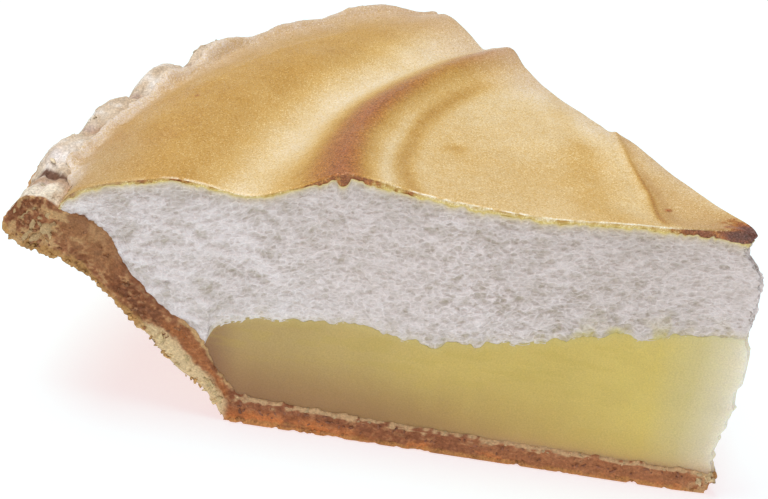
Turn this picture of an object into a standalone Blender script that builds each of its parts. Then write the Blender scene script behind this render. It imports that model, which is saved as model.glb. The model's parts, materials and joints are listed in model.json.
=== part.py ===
"""Icebox pie: one slice, a sixth of a round pie, standing as it is served.

Three layers run through the slice. The pastry crust has a flat base, a sloping wall and a fluted
rim. The lemon filling lies in it, and a tall meringue with spiral folds covers both.

Each layer is a block of cells, u along the radius, v through the thickness and w round the slice.
The blocks are grids extruded cell by cell, then mapped to the pie. Sizes are millimetres in pie
coordinates: the pie's axis is the origin, the near cut face lies on y = 0 and runs to -X, and the
slice opens towards +Y. The finished slice is moved so that its box stands on the origin.
"""

import math

import bmesh
import bpy
from mathutils import Vector, noise

MM = 0.001
COLLECTION = "icebox_pie"

# The slice
SLICE_ANGLE_DEG = 59.0
TIP_RADIUS = 1.2
TIP_REACH = 7.0
LAYER_GAP = 0.35
# How far the tip leans out past the pie's axis, by height
TIP_OVERHANG = (
    (0.0, 0.0),
    (1.5, 0.2),
    (2.8, 1.2),
    (5.0, 0.3),
    (13.0, 1.1),
    (20.0, 1.8),
    (28.0, 2.2),
    (31.0, 1.2),
    (35.0, 1.7),
    (40.5, 1.7),
    (44.0, 0.2),
    (46.4, -1.6),
    (50.0, -0.7),
)

# Cells of each block
CRUST_W, CRUST_V = 42, 3
FILLING_W, FILLING_V = 14, 3
MERINGUE_W, MERINGUE_V = 28, 6

# Crust section: (station, radius, height). Both paths use the same stations, so that a pair of
# points at one station spans the thickness of the pastry.
ST_BASE, ST_FILL, ST_LEDGE, ST_LIP = 12, 16, 26, 32
CRUST_UNDER = (
    (0, TIP_RADIUS, 0.0),
    (ST_BASE, 79.8, 0.0),
    (13, 81.5, 1.2),
    (14, 84.2, 5.2),
    (15, 87.0, 7.3),
    (ST_FILL, 89.6, 9.2),
    (19, 95.3, 15.5),
    (22, 101.8, 21.8),
    (24, 106.1, 25.5),
    (ST_LEDGE, 111.4, 27.3),
    (30, 116.6, 28.9),
    (ST_LIP, 118.6, 31.6),
)
CRUST_INNER = (
    (0, TIP_RADIUS, 3.9),
    (5, 33.0, 4.2),
    (ST_BASE, 78.6, 5.6),
    (13, 80.9, 7.4),
    (ST_FILL, 85.2, 14.2),
    (17, 86.8, 16.4),
    (19, 91.8, 20.0),
    (22, 97.8, 25.8),
    (24, 102.3, 31.6),
    (ST_LEDGE, 110.0, 36.3),
    (28, 112.6, 38.0),
    (30, 114.5, 37.8),
    (31, 115.7, 36.5),
    (ST_LIP, 116.9, 34.4),
)
# Along the far half the rim stands further out and the meringue spreads over it
RIM_FAR_FROM_DEG, RIM_FAR_TO_DEG = 24.0, 40.0
RIM_FAR_OUT, RIM_FAR_UP, RIM_FAR_LEDGE_OUT = 0.6, -0.2, 2.6
# At the far cut the rim turns down
RIM_END_FROM_DEG, RIM_END_IN, RIM_END_DOWN = 53.0, 1.2, 1.6

# Flutes of the rim, uneven: (angle of the notch, share of the way to the next at which the crest
# stands, height of the crest). The wave lifts the lip, and each notch is hollow behind the lip.
FLUTES = (
    (-7.0, 0.40, 0.6),
    (3.2, 0.50, 0.7),
    (13.0, 0.55, 0.6),
    (20.8, 0.55, 1.0),
    (28.6, 0.30, 1.0),
    (38.6, 0.35, 0.4),
    (47.4, 0.25, 0.5),
    (57.0, 0.40, 0.3),
    (66.0, 0.40, 0.3),
)
FLUTE_OUT, FLUTE_UP = 1.2, 1.3
FLUTE_HOLLOW = 1.5
FLUTE_UNDER_SHARE = 0.8
FLUTE_FALL_BEND = 1.6
# Stations over which the changes of the rim come in, before and after the ledge
RIM_RISE_STATIONS, RIM_LIP_STATIONS = 5, 3

# Lemon filling: height of its top over the radius
FILLING_TOP = (
    (TIP_RADIUS, 31.0),
    (15.2, 28.4),
    (32.0, 24.2),
    (50.0, 21.2),
    (62.5, 23.0),
    (74.0, 21.2),
    (81.0, 19.8),
    (83.4, 18.1),
    (84.6, 15.7),
)
FILLING_EDGE_RADIUS = 84.4
FILLING_SWAY, FILLING_WAVES = 0.8, 4.0
# Radii between which the sway comes in, and between which it goes
FILLING_SWAY_IN, FILLING_SWAY_OUT = (20.0, 50.0), (70.0, 80.0)

# Meringue top: (near radius, near height, far radius, far height, bend of the path between them)
MERINGUE_BASE_CELLS = 2 * ST_BASE
MERINGUE_INNER_CELLS = MERINGUE_BASE_CELLS + ST_FILL - ST_BASE
MERINGUE_EDGE_THICKNESS = 1.1
MERINGUE_TOP = {
    "shoulder": (106.6, 40.2, 110.0, 36.9, 1.0),
    "outer_swell": (99.0, 43.4, 105.0, 37.6, 1.0),
    "dome": (91.0, 44.8, 99.0, 37.6, 1.0),
    "trough": (80.0, 43.9, 93.6, 37.3, 2.3),
    "fold_rise": (72.2, 46.5, 88.0, 39.8, 1.7),
    "fold_crest": (63.6, 50.4, 81.6, 42.5, 1.4),
    "fold_band": (59.0, 50.0, 76.4, 41.3, 1.3),
    "second_fold": (54.0, 48.9, 71.0, 41.3, 1.2),
    "second_foot": (47.0, 48.2, 64.0, 41.8, 1.2),
    "plain": (33.0, 47.6, 52.0, 43.1, 1.4),
    "crease_rim_side": (21.0, 48.4, 46.5, 44.1, 2.0),
    "crease_lip": (15.0, 48.8, 41.5, 45.3, 2.0),
    "tip_rise": (7.0, 48.4, 22.0, 47.2, 1.5),
    "tip": (TIP_RADIUS, 49.4, TIP_RADIUS, 49.8, 1.0),
}
DOME_SWELL_UP = 1.2

# Relief of the cut faces and of the pastry outside
CRUST_CUT_RELIEF, CRUST_CUT_GRAIN = 0.6, 3.5
FILLING_CUT_RELIEF, FILLING_CUT_GRAIN = 0.25, 9.0
MERINGUE_CUT_RELIEF, MERINGUE_CUT_GRAIN = 1.1, 4.0
CRUST_SKIN_RELIEF, CRUST_SKIN_GRAIN, CRUST_SKIN_FINE_GRAIN = 0.35, 6.0, 2.5
CRUST_SKIN_FROM_RADIUS, CRUST_SKIN_FROM_HEIGHT = 82.5, 1.5
FACING_DOWN = -0.2
RELIEF_FADE = 0.12
# The second, finer octave of a cut face's relief, and how much of the face is torn inwards
CUT_FINE_SHARE, CUT_FINE_GRAIN = 0.6, 0.45
CUT_TORN = 0.35
# Each face takes its relief from another place in the noise
CUT_SHIFT, CUT_SHIFT_PER_FACE = Vector((0.0, 2.1, 5.7)), Vector((7.3, 0.0, 0.0))
CUT_FINE_SHIFT, CUT_FINE_SHIFT_PER_FACE = Vector((1.9, 0.0, 8.2)), Vector((0.0, 3.1, 0.0))

COLOURS = {
    "crust": ((0.60, 0.36, 0.19), 0.75),
    "lemon_filling": ((0.80, 0.68, 0.28), 0.35),
    "meringue": ((0.82, 0.55, 0.24), 0.5),
}


def smooth_step(low, high, value):
    share = min(1.0, max(0.0, (value - low) / (high - low)))
    return share * share * (3.0 - 2.0 * share)


def mix(first, second, share):
    return first + (second - first) * share


def curve(knots):
    """A smooth curve through (x, y) knots that rises and falls only where the knots do."""
    xs = [knot[0] for knot in knots]
    ys = [knot[1] for knot in knots]
    steps = [b - a for a, b in zip(xs, xs[1:])]
    slopes = [(b - a) / step for a, b, step in zip(ys, ys[1:], steps)]
    tangents = [slopes[0]]
    for k in range(1, len(xs) - 1):
        before, after = slopes[k - 1], slopes[k]
        if before * after <= 0.0:
            tangents.append(0.0)
            continue
        heavy = 2.0 * steps[k] + steps[k - 1]
        light = steps[k] + 2.0 * steps[k - 1]
        tangents.append((heavy + light) / (heavy / before + light / after))
    tangents.append(slopes[-1])

    def value_at(x):
        x = min(xs[-1], max(xs[0], x))
        k = 0
        while k < len(steps) - 1 and x > xs[k + 1]:
            k += 1
        t = (x - xs[k]) / steps[k]
        return (
            ys[k] * (1 + 2 * t) * (1 - t) ** 2
            + ys[k + 1] * t * t * (3 - 2 * t)
            + steps[k] * (tangents[k] * t * (1 - t) ** 2 - tangents[k + 1] * t * t * (1 - t))
        )

    return value_at


def section(knots):
    radius = curve([(s, r) for s, r, _ in knots])
    height = curve([(s, z) for s, _, z in knots])
    return lambda station: (radius(station), height(station))


overhang_at = curve(TIP_OVERHANG)
filling_top_at = curve(FILLING_TOP)
crust_under_at = section(CRUST_UNDER)
crust_inner_at = section(CRUST_INNER)


def flute(angle_deg):
    """Height of the flute wave at an angle: 0 in a notch, about 1 on a crest."""
    for (low, crest, tall), (high, _, _) in zip(FLUTES, FLUTES[1:]):
        if low <= angle_deg <= high:
            share = (angle_deg - low) / (high - low)
            if share < crest:
                return tall * smooth_step(0.0, crest, share)
            return tall * (1.0 - ((share - crest) / (1.0 - crest)) ** FLUTE_FALL_BEND)
    return 0.0


def rim_change(station, angle_deg, under):
    """(radius, height) added to the crust's section from the ledge to the lip."""
    far = smooth_step(RIM_FAR_FROM_DEG, RIM_FAR_TO_DEG, angle_deg)
    end = smooth_step(RIM_END_FROM_DEG, SLICE_ANGLE_DEG, angle_deg)
    near_rim = smooth_step(ST_LEDGE - RIM_RISE_STATIONS, ST_LEDGE, station)
    past_ledge = smooth_step(ST_LEDGE, ST_LEDGE + RIM_LIP_STATIONS, station)
    out = near_rim * (RIM_FAR_OUT * far - RIM_END_IN * end)
    up = near_rim * (RIM_FAR_UP * far - RIM_END_DOWN * end)
    wave = past_ledge * flute(angle_deg)
    if under:
        return out + FLUTE_UNDER_SHARE * FLUTE_OUT * wave, up + FLUTE_UNDER_SHARE * FLUTE_UP * wave
    behind_lip = past_ledge * (1.0 - smooth_step(ST_LEDGE + RIM_LIP_STATIONS, ST_LIP, station))
    out += RIM_FAR_LEDGE_OUT * far * near_rim * (1.0 - smooth_step(ST_LEDGE, ST_LIP, station))
    hollow = FLUTE_HOLLOW * behind_lip * max(0.0, 1.0 - flute(angle_deg))
    return out + FLUTE_OUT * wave, up + FLUTE_UP * wave - hollow


def crust_path(station, angle_deg, under):
    radius, height = (crust_under_at if under else crust_inner_at)(station)
    out, up = rim_change(station, angle_deg, under)
    return radius + out, height + up


def above_crust(station, angle_deg):
    """A point of the crust's inner path moved off it by the gap between layers."""
    radius, height = crust_path(station, angle_deg, False)
    before = crust_path(max(0, station - 0.5), angle_deg, False)
    after = crust_path(station + 0.5, angle_deg, False)
    run, rise = after[0] - before[0], after[1] - before[1]
    length = math.hypot(run, rise)
    return radius - LAYER_GAP * rise / length, height + LAYER_GAP * run / length


def meringue_top(angle_deg):
    """The meringue's top at an angle, as a curve of height over radius."""
    share = angle_deg / SLICE_ANGLE_DEG
    edge_radius, edge_height = above_crust(ST_LEDGE, angle_deg)
    knots = [(edge_radius, edge_height + MERINGUE_EDGE_THICKNESS)]
    for name, (near_r, near_z, far_r, far_z, bend) in MERINGUE_TOP.items():
        height = mix(near_z, far_z, share)
        if name in ("outer_swell", "dome"):
            height += DOME_SWELL_UP * math.sin(math.pi * share)
        knots.append((mix(near_r, far_r, share**bend), height))
    return curve(knots[::-1])


def crust_point(u, v, w):
    angle = SLICE_ANGLE_DEG * w / CRUST_W
    low = crust_path(u, angle, True)
    high = crust_path(u, angle, False)
    share = v / CRUST_V
    return mix(low[0], high[0], share), angle, mix(low[1], high[1], share)


def filling_top_point(station, angle_deg):
    """(radius, height) of the filling's top. It rises and falls a little inside the slice."""
    if station <= ST_BASE:
        radius = crust_inner_at(station)[0]
    else:
        start = crust_inner_at(ST_BASE)[0]
        radius = mix(start, FILLING_EDGE_RADIUS, (station - ST_BASE) / (ST_FILL - ST_BASE))
    inside = smooth_step(*FILLING_SWAY_IN, radius) * (1.0 - smooth_step(*FILLING_SWAY_OUT, radius))
    sway = FILLING_SWAY * inside * math.sin(math.radians(angle_deg) * FILLING_WAVES)
    return radius, filling_top_at(radius) + sway


def filling_point(u, v, w):
    angle = SLICE_ANGLE_DEG * w / FILLING_W
    low = above_crust(u, angle)
    high = filling_top_point(u, angle)
    share = v / FILLING_V
    radius = mix(low[0], high[0], share) if u else TIP_RADIUS
    return radius, angle, mix(low[1], high[1], share)


def meringue_point(u, v, w):
    angle = SLICE_ANGLE_DEG * w / MERINGUE_W
    if u <= MERINGUE_BASE_CELLS:
        low = filling_top_point(u * ST_BASE / MERINGUE_BASE_CELLS, angle)
    elif u <= MERINGUE_INNER_CELLS:
        low = filling_top_point(ST_BASE + u - MERINGUE_BASE_CELLS, angle)
    else:
        low = above_crust(ST_FILL + u - MERINGUE_INNER_CELLS, angle)
    if u <= MERINGUE_INNER_CELLS:
        low = (low[0], low[1] + LAYER_GAP)
    return low[0], angle, mix(low[1], meringue_tops[w](low[0]), v / MERINGUE_V)


def cut_relief(relief, grain, both_ways, where, face):
    """How far a cut face is broken in or out at a point."""
    coarse = noise.noise(where / grain + CUT_SHIFT + face * CUT_SHIFT_PER_FACE)
    fine_at = where / (CUT_FINE_GRAIN * grain) + CUT_FINE_SHIFT + face * CUT_FINE_SHIFT_PER_FACE
    value = coarse + CUT_FINE_SHARE * noise.noise(fine_at)
    return relief * value if both_ways else relief * max(0.0, CUT_TORN + value)


def place(radius, angle_deg, height):
    """A point of the pie in space, with the lean of the tip."""
    angle = math.radians(angle_deg)
    lean = (TIP_RADIUS + overhang_at(height)) * math.exp(-(((radius - TIP_RADIUS) / TIP_REACH) ** 2))
    return Vector((lean - radius * math.cos(angle), radius * math.sin(angle), height))


def build_layer(cells, point, relief, grain, both_ways, keep_flat):
    """One closed block of cells, mapped to the pie and broken a little at its two cut faces."""
    block = bmesh.new()
    made = bmesh.ops.create_grid(block, x_segments=cells[0], y_segments=cells[1], size=0.5)
    for vert in made["verts"]:
        vert.co = Vector(((vert.co.x + 0.5) * cells[0], (vert.co.y + 0.5) * cells[1], 0.0))
    faces = block.faces[:]
    for step in range(cells[2]):
        grown = bmesh.ops.extrude_face_region(block, geom=faces)["geom"]
        if step:
            bmesh.ops.delete(block, geom=faces, context="FACES")
        faces = [item for item in grown if isinstance(item, bmesh.types.BMFace)]
        verts = [item for item in grown if isinstance(item, bmesh.types.BMVert)]
        bmesh.ops.translate(block, verts=verts, vec=(0.0, 0.0, 1.0))
    for vert in block.verts:
        u, v, w = (round(value) for value in vert.co)
        radius, angle, height = point(u, v, w)
        spot = place(radius, angle, height)
        at_face = -1 if w == 0 else 1 if w == cells[2] else 0
        if at_face and not (keep_flat and v == 0 and u <= ST_BASE):
            turn = math.radians(angle)
            outward = Vector((math.sin(turn), math.cos(turn), 0.0)) * at_face
            edge = min(1.0, RELIEF_FADE + radius / TIP_REACH)
            depth = edge * cut_relief(relief, grain, both_ways, spot, at_face)
            spot += outward * depth if both_ways else -outward * depth
        vert.co = spot
    bmesh.ops.recalc_face_normals(block, faces=block.faces[:])
    if block.calc_volume(signed=True) < 0.0:
        bmesh.ops.reverse_faces(block, faces=block.faces[:])
    return block


def roughen_outside(block):
    """The pastry outside the wall is uneven. Its base stays flat."""
    block.normal_update()
    moves = []
    for vert in block.verts:
        radius = math.hypot(vert.co.x, vert.co.y)
        on_wall = radius > CRUST_SKIN_FROM_RADIUS and vert.co.z > CRUST_SKIN_FROM_HEIGHT
        if on_wall and vert.normal.z < FACING_DOWN:
            fine = 0.5 * noise.noise(vert.co / CRUST_SKIN_FINE_GRAIN)
            value = noise.noise(vert.co / CRUST_SKIN_GRAIN) + fine
            moves.append((vert, vert.normal * CRUST_SKIN_RELIEF * value))
    for vert, move in moves:
        vert.co += move


def material(name):
    colour, roughness = COLOURS[name]
    made = bpy.data.materials.new(name)
    made.use_nodes = True
    shader = made.node_tree.nodes["Principled BSDF"]
    shader.inputs["Base Color"].default_value = (*colour, 1.0)
    shader.inputs["Roughness"].default_value = roughness
    return made


for old in list(bpy.data.objects):
    bpy.data.objects.remove(old)

meringue_tops = [meringue_top(SLICE_ANGLE_DEG * w / MERINGUE_W) for w in range(MERINGUE_W + 1)]
crust_cells = (ST_LIP, CRUST_V, CRUST_W)
filling_cells = (ST_FILL, FILLING_V, FILLING_W)
meringue_cells = (MERINGUE_INNER_CELLS + ST_LEDGE - ST_FILL, MERINGUE_V, MERINGUE_W)
layers = {
    "crust": build_layer(crust_cells, crust_point, CRUST_CUT_RELIEF, CRUST_CUT_GRAIN, True, True),
    "lemon_filling": build_layer(
        filling_cells, filling_point, FILLING_CUT_RELIEF, FILLING_CUT_GRAIN, False, False
    ),
    "meringue": build_layer(
        meringue_cells, meringue_point, MERINGUE_CUT_RELIEF, MERINGUE_CUT_GRAIN, False, False
    ),
}
roughen_outside(layers["crust"])

spots = [vert.co for block in layers.values() for vert in block.verts]
low_x, high_x = min(spot.x for spot in spots), max(spot.x for spot in spots)
low_y, high_y = min(spot.y for spot in spots), max(spot.y for spot in spots)
to_origin = Vector((-(low_x + high_x) / 2, -(low_y + high_y) / 2, -min(spot.z for spot in spots)))

collection = bpy.data.collections.new(COLLECTION)
bpy.context.scene.collection.children.link(collection)
for name, block in layers.items():
    bmesh.ops.translate(block, verts=block.verts, vec=to_origin)
    bmesh.ops.scale(block, verts=block.verts, vec=(MM, MM, MM))
    mesh = bpy.data.meshes.new(name)
    block.to_mesh(mesh)
    block.free()
    for face in mesh.polygons:
        face.use_smooth = name != "crust"
    mesh.materials.append(material(name))
    collection.objects.link(bpy.data.objects.new(name, mesh))
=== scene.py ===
"""Looks of the icebox pie: a toasted satin skin over torn white foam, a see-through lemon filling and
a flaky crust, on a plain pale floor.

Shapes are worked out in pie coordinates, in millimetres: the pie's axis is the origin, the near cut
face lies on y = 0 and runs to -X, and the slice opens towards +Y. Angles are degrees round the slice
from the near cut, and stations run along the crust's section, from the tip to the lip.
"""

import itertools
import json
import math

import bpy
import numpy as np
from mathutils import Matrix, Vector


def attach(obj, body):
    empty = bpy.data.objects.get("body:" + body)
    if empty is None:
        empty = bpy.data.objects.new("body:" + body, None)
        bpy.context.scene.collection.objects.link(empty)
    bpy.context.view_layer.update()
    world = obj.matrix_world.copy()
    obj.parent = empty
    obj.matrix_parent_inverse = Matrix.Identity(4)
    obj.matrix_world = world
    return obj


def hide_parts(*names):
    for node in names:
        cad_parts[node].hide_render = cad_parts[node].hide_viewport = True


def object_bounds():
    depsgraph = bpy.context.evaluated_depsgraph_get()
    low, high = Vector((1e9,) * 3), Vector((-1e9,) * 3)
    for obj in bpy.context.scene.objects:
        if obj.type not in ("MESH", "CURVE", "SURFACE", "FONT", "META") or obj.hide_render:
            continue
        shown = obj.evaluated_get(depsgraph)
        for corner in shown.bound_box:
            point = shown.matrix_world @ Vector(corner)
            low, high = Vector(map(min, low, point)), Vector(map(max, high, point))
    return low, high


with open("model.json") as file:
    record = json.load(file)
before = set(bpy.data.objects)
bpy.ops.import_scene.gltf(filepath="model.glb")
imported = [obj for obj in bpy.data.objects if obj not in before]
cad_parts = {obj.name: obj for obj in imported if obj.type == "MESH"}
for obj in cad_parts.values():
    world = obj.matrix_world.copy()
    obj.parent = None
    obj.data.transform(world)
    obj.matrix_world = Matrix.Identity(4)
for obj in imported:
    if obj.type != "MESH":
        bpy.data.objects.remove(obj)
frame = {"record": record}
CAD_LOW, CAD_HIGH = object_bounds()

MM = 0.001

# The slice, with the part's sizes
SLICE_ANGLE = 59.0
MOUNT_RADIUS = 50.0
TIP_RADIUS, TIP_REACH = 1.2, 7.0
# (height, how far the tip leans out there)
TIP_OVERHANG = (
    (0.0, 0.0), (1.5, 0.2), (2.8, 1.2), (5.0, 0.3), (13.0, 1.1), (20.0, 1.8), (28.0, 2.2),
    (31.0, 1.2), (35.0, 1.7), (40.5, 1.7), (44.0, 0.2), (46.4, -1.6), (50.0, -0.7),
)
ST_BASE, ST_FILL, ST_LEDGE, ST_LIP = 12, 16, 26, 32
# (station, radius, height)
CRUST_UNDER = (
    (0, TIP_RADIUS, 0.0), (ST_BASE, 79.8, 0.0), (13, 81.5, 1.2), (14, 84.2, 5.2), (15, 87.0, 7.3),
    (ST_FILL, 89.6, 9.2), (19, 95.3, 15.5), (22, 101.8, 21.8), (24, 106.1, 25.5),
    (ST_LEDGE, 111.4, 27.3), (30, 116.6, 28.9), (ST_LIP, 118.6, 31.6),
)
CRUST_INNER = (
    (0, TIP_RADIUS, 3.9), (5, 33.0, 4.2), (ST_BASE, 78.6, 5.6), (13, 80.9, 7.4),
    (ST_FILL, 85.2, 14.2), (17, 86.8, 16.4), (19, 91.8, 20.0), (22, 97.8, 25.8), (24, 102.3, 31.6),
    (ST_LEDGE, 110.0, 36.3), (28, 112.6, 38.0), (30, 114.5, 37.8), (31, 115.7, 36.5),
    (ST_LIP, 116.9, 34.4),
)
# The rim's far half, which lies 0.6 mm lower than the part's, and its end at the far cut
RIM_FAR_FROM, RIM_FAR_TO = 24.0, 40.0
RIM_FAR_OUT, RIM_FAR_UP, RIM_FAR_LEDGE_OUT = 0.6, -0.8, 2.6
RIM_END_FROM, RIM_END_IN, RIM_END_DOWN = 53.0, 1.2, 1.6
# (angle of a notch, share of the way to the next at which the crest stands, height of the crest)
FLUTES = (
    (-7.0, 0.40, 0.6), (3.2, 0.50, 0.7), (13.0, 0.55, 0.6), (20.8, 0.55, 1.0), (28.6, 0.30, 1.0),
    (38.6, 0.35, 0.4), (47.4, 0.25, 0.5), (57.0, 0.40, 0.3), (66.0, 0.40, 0.3),
)
FLUTE_OUT, FLUTE_UP, FLUTE_HOLLOW = 1.2, 1.3, 1.5
FLUTE_UNDER_SHARE, FLUTE_FALL_BEND = 0.8, 1.6
# (radius, height)
FILLING_TOP = (
    (TIP_RADIUS, 31.0), (15.2, 28.4), (32.0, 24.2), (50.0, 21.2), (62.5, 23.0), (74.0, 21.2),
    (81.0, 19.8), (83.4, 18.1), (84.6, 15.7),
)
FILLING_EDGE_RADIUS = 84.4
FILLING_SWAY, FILLING_WAVES = 0.8, 4.0
MERINGUE_EDGE_THICKNESS = 1.1
# (near radius, near height, far radius, far height, bend of the path between them)
MERINGUE_TOP = {
    "shoulder": (106.6, 40.2, 110.0, 36.9, 1.0),
    "outer_swell": (99.0, 43.4, 105.0, 37.6, 1.0),
    "dome": (91.0, 44.8, 99.0, 37.6, 1.0),
    "trough": (80.0, 43.9, 93.6, 37.3, 2.3),
    "fold_rise": (72.2, 46.5, 88.0, 39.8, 1.7),
    "fold_crest": (63.6, 50.4, 81.6, 42.5, 1.4),
    "fold_band": (59.0, 50.0, 76.4, 41.3, 1.3),
    "second_fold": (54.0, 48.9, 71.0, 41.3, 1.2),
    "second_foot": (47.0, 48.2, 64.0, 41.8, 1.2),
    "plain": (33.0, 47.6, 52.0, 43.1, 1.4),
    "crease_rim_side": (21.0, 48.4, 46.5, 44.1, 2.0),
    "crease_lip": (15.0, 48.8, 41.5, 45.3, 2.0),
    "tip_rise": (7.0, 48.4, 22.0, 47.2, 1.5),
    "tip": (TIP_RADIUS, 49.4, TIP_RADIUS, 49.8, 1.0),
}
DOME_SWELL_UP = 1.2

# The skin: the length of its round nose at the tip, how far that lifts, and the drop at the fold's cut
NOSE_LENGTH = 3.0
TIP_NEAR_UP = 1.6
DROP_RADIUS, DROP_WIDTH, DROP_DEPTH = 64.7, 1.0, 1.3
# (radius, thickness at the near cut)
SKIN_THICKNESS = (
    (TIP_RADIUS, 1.8), (5.0, 1.85), (10.0, 1.35), (16.0, 1.05), (30.0, 1.0), (52.0, 1.0),
    (58.0, 1.25), (66.0, 1.2), (71.0, 0.75), (80.0, 0.65), (88.0, 0.85), (98.0, 0.9),
    (106.0, 1.0), (112.0, 1.3),
)

# Curves over the top, as (angle, radius)
FOLD = ((0, 65.0), (8, 66.8), (15, 68.3), (25, 70.6), (36, 73.6), (44, 76.2), (51, 79.4), (59, 82.6))
FOLD_INNER = (
    (0, 58.4), (12, 61.0), (20, 63.2), (27, 65.2), (36, 68.2), (44, 70.8), (52, 73.9), (59, 75.5),
)
FOLD_OUTER = (
    (0, 75.0), (8, 76.0), (16, 77.6), (25, 80.2), (34, 83.0), (42, 85.2), (48, 86.6), (59, 90.0),
)
VALLEY = (
    (0, 77.3), (10, 76.6), (21, 77.4), (31, 80.8), (42, 85.1), (48, 88.6), (55, 93.3), (59, 94.5),
)
SECOND_FOLD = ((0, 53.6), (11, 57.4), (20, 59.8), (30, 63.3), (40, 66.9), (48, 69.9), (59, 73.8))
BETWEEN_FOLDS = ((0, 57.8), (11, 60.2), (20, 62.0), (27, 64.2), (34, 66.2), (59, 73.0))
CREASE = ((0, 14.2), (10, 15.6), (35, 20.6), (45, 26.2), (55, 37.2), (59, 44.0))
MID_BAND = ((0, 22.0), (22, 28.2), (41, 35.9), (50, 45.8), (55, 56.7), (59, 63.0))
OUTER_BAND = ((0, 75.0), (59, 75.0))

# Brown bands of the skin: (curve, distance past it, width, how much browner, the angle at which the band
# starts, the angle from which it is full). The paler bands along the valley, between the folds and beside
# the crease are painted highlights
ALL_ROUND = (-2.0, -1.0)
TOAST_BANDS = (
    # Paler along the valley: a painted highlight where the slope faces the light
    (VALLEY, 0.0, 5.0, -0.21, *ALL_ROUND),
    (FOLD, 0.0, 7.0, 0.22, *ALL_ROUND),
    (OUTER_BAND, 0.0, 4.0, 0.26, 16.0, 4.0),
    (SECOND_FOLD, 0.0, 1.9, 0.28, 56.0, 40.0),
    (FOLD, 0.0, 6.0, 0.06, 44.0, 54.0),
    # Paler between the folds: a painted highlight line
    (BETWEEN_FOLDS, 0.0, 1.1, -0.16, 48.0, 22.0),
    (MID_BAND, 0.0, 5.0, 0.12, *ALL_ROUND),
    (CREASE, -0.4, 0.7, 0.34, -1.0, 8.0),
    (CREASE, -2.0, 2.0, 0.22, 2.0, 12.0),
    # Paler beside the crease: a painted highlight
    (CREASE, 3.0, 2.2, -0.03, *ALL_ROUND),
)
# Small brown spots of the skin: (radius, angle, size, how much browner)
TOAST_SPOTS = (
    (53.6, 24.4, 1.7, 0.24), (16.2, 31.0, 0.55, 0.6), (100.0, 19.4, 0.25, 0.9), (63.2, 27.9, 0.25, 0.6),
)
TOAST_MOST = 1.7

# Colours as (value, sRGB): of the skin by how brown it is, of the foam by the depth of its pits, darker in
# deeper pits as painted shade, of the filling by radius, and of the crust by noise
SKIN_COLOURS = (
    (0.0, (240, 222, 188)), (0.2, (227, 200, 148)), (0.4, (213, 175, 104)), (0.6, (193, 148, 70)),
    (0.8, (177, 119, 50)), (1.0, (163, 98, 46)), (1.3, (142, 82, 52)), (1.7, (108, 68, 56)),
)
FOAM_COLOURS = ((0.0, (231, 219, 217)), (0.5, (210, 197, 191)), (1.0, (189, 176, 160)))
# Nearly white at the tip: painted light on the narrow end face, which the lamps hardly reach
FILLING_COLOURS = (
    (0.0, (248, 242, 230)), (3.0, (228, 217, 186)), (7.0, (214, 198, 140)), (12.0, (217, 194, 109)),
    (28.0, (211, 186, 103)), (44.0, (208, 182, 103)), (62.0, (198, 171, 106)), (84.0, (182, 152, 100)),
)
OUTSIDE_COLOURS = ((-0.7, (156, 100, 58)), (0.0, (204, 150, 92)), (0.7, (230, 194, 140)))
RIM_COLOURS = ((-0.6, (200, 176, 148)), (0.0, (218, 200, 178)), (0.6, (236, 228, 220)))
CUT_COLOURS = ((-0.45, (124, 74, 46)), (-0.1, (146, 92, 60)), (0.15, (164, 106, 70)), (0.4, (192, 144, 100)))

# Cells of the pieces: along the radius, through the height, round the slice
SKIN_CELLS = (380, 5, 112)
FOAM_CELLS = (500, 180, 5)
FILLING_CELLS = (400, 48, 6)
CRUST_CELLS = (176, 7, 112)
CRUST_SLAB_CELLS = (640, 36, 3)
SLAB_DEPTH = 1.7
# Millimetres from one station to the next, along the base and along the wall
BASE_STEP, WALL_STEP = 6.6, 2.7

# Flakes and crumbs: (how many, stations, shares of the thickness, on a cut face or outside, sizes,
# thickness as a share of the size, how far they stand out, colour)
FLAKES = {
    "rim_cut": (14, (26.0, 31.0), (0.2, 0.9), "cut", (0.9, 2.6), 0.16, 0.0, (206, 172, 126)),
    "wall_cut": (110, (17.0, 30.0), (0.05, 0.9), "cut", (0.3, 0.8), 0.5, 0.0, (166, 116, 82)),
    "low_wall_cut": (16, (12.8, 18.0), (0.0, 0.4), "cut", (0.9, 2.4), 0.2, -0.05, (228, 200, 150)),
    "wall_edge": (60, (13.0, 31.0), (0.0, 0.05), "cut", (0.3, 0.9), 0.5, -0.2, (206, 162, 104)),
    "base_top": (60, (0.3, 12.0), (0.84, 0.97), "cut", (0.3, 1.0), 0.3, 0.0, (204, 174, 132)),
    "base_edge": (120, (0.1, 12.2), (0.03, 0.12), "cut", (0.3, 0.8), 0.5, -0.1, (192, 134, 84)),
    "base_mid": (90, (0.3, 12.0), (0.3, 0.8), "cut", (0.3, 0.8), 0.5, 0.0, (160, 108, 82)),
    "tip_end": (10, (0.05, 0.35), (0.5, 1.0), "cut", (0.7, 1.8), 0.3, 0.1, (218, 190, 146)),
    "outside": (260, (13.0, 31.5), (0.0, 0.0), "outside", (0.7, 2.2), 0.2, 0.0, (222, 184, 128)),
    "rim_top": (24, (29.0, 31.8), (1.0, 1.0), "outside", (0.6, 1.4), 0.2, -0.05, (226, 210, 182)),
}
FLAKE_SIDES, FLAKE_SEED = 9, 20

# The lights: (place, width, power, colour), all aimed a little above the floor's middle
LIGHTS = {
    "key": ((-0.15, 0.06, 0.58), 0.44, 2.66, (1.0, 0.98, 0.95)),
    "front": ((-0.10, -0.62, 0.30), 0.40, 1.08, (1.0, 0.99, 0.98)),
    "side": ((0.50, -0.16, 0.40), 0.30, 0.25, (1.0, 0.99, 0.98)),
}
LIGHTS_AIM = (0.0, 0.0, 0.02)
SURROUND_COLOUR, SURROUND_STRENGTH = (1.0, 0.992, 0.99, 1.0), 0.32

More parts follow.
